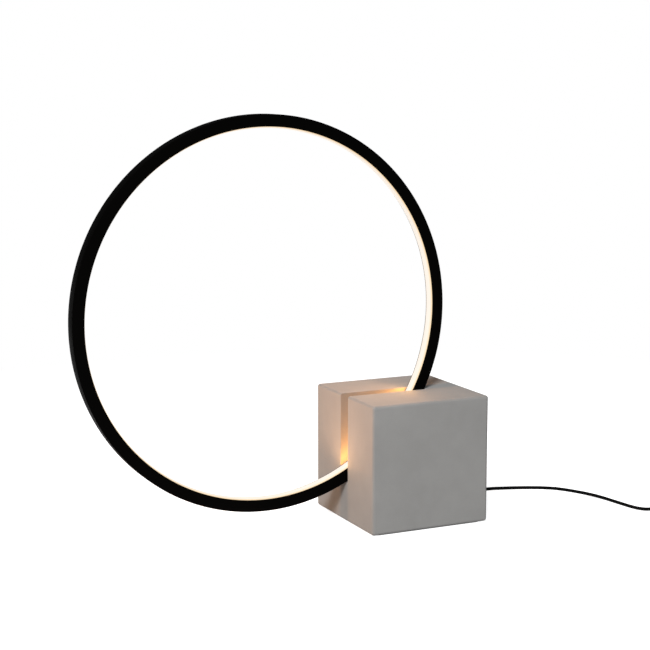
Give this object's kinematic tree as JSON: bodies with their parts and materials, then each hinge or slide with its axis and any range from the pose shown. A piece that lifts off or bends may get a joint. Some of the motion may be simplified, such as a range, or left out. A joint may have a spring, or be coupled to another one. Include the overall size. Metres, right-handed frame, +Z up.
{
  "type": "ring table lamp",
  "caption": "Black LED ring standing through a slotted concrete cube, lit on its inner side, with a thin cord, an inline rocker switch and a plug-in adapter.",
  "frame": {"origin": "centre of the base pad's underside, on the table", "axes": "+Z up, +X towards the face that the cord leaves from, +Y away from the viewer, square to the ring's plane"},
  "size_m": [0.704, 0.172, 0.381],
  "materials": {
    "concrete": "matte",
    "black_aluminium": "matte",
    "diffuser": "satin",
    "led_board": "satin",
    "led": "gloss",
    "black_rubber": "matte",
    "steel": "satin",
    "black_steel": "satin",
    "brass": "satin",
    "cord_black": "satin",
    "wire_red": "satin",
    "wire_black": "satin",
    "terminal": "satin",
    "case_black": "satin",
    "rocker_black": "gloss",
    "nickel": "polished",
    "circuit_board": "satin",
    "transformer": "satin",
    "capacitor": "satin"
  },
  "bodies": {
    "lamp": {"concrete_block": "concrete", "base_plate": "black_steel", "base_pad": "black_rubber", "base_screws": "steel", "plate_inserts": "brass", "ring_channel": "black_aluminium", "ring_seat": "black_rubber", "ring_splice": "steel", "ring_screws": "steel", "ring_inserts": "brass", "led_strip": "led_board", "led_chips": "led", "light_diffuser": "diffuser", "feed_wire_red": "wire_red", "feed_wire_black": "wire_black", "terminal_body": "terminal", "terminal_barrels": "brass", "terminal_clamp_screws": "steel", "terminal_screw": "steel", "terminal_insert": "brass", "cord_gland": "case_black", "gland_nut": "case_black", "cord_tail": "cord_black", "tail_cores": "wire_black", "cord_to_switch": "cord_black", "cord_to_coil": "cord_black", "cord_coil": "cord_black", "coil_tie": "black_rubber", "cord_to_adapter": "cord_black", "switch_base": "case_black", "switch_cover": "case_black", "rocker_pin": "steel", "switch_contacts": "brass", "switch_screws": "steel", "switch_inlet_relief": "black_rubber", "switch_outlet_relief": "black_rubber", "adapter_case": "case_black", "adapter_cover": "case_black", "plug_pins": "nickel", "adapter_relief": "black_rubber", "adapter_board": "circuit_board", "adapter_transformer": "transformer", "adapter_capacitors": "capacitor"},
    "rocker": {"switch_rocker": "rocker_black", "rocker_contact": "brass"}
  },
  "joints": [
    {"name": "switch_rocker_turn", "type": "hinge", "parent": "lamp", "child": "rocker", "pos_m": [0.272, -0.103, 0.0092], "axis": [0, 1, 0], "range_deg": [-12, 0]}
  ]
}
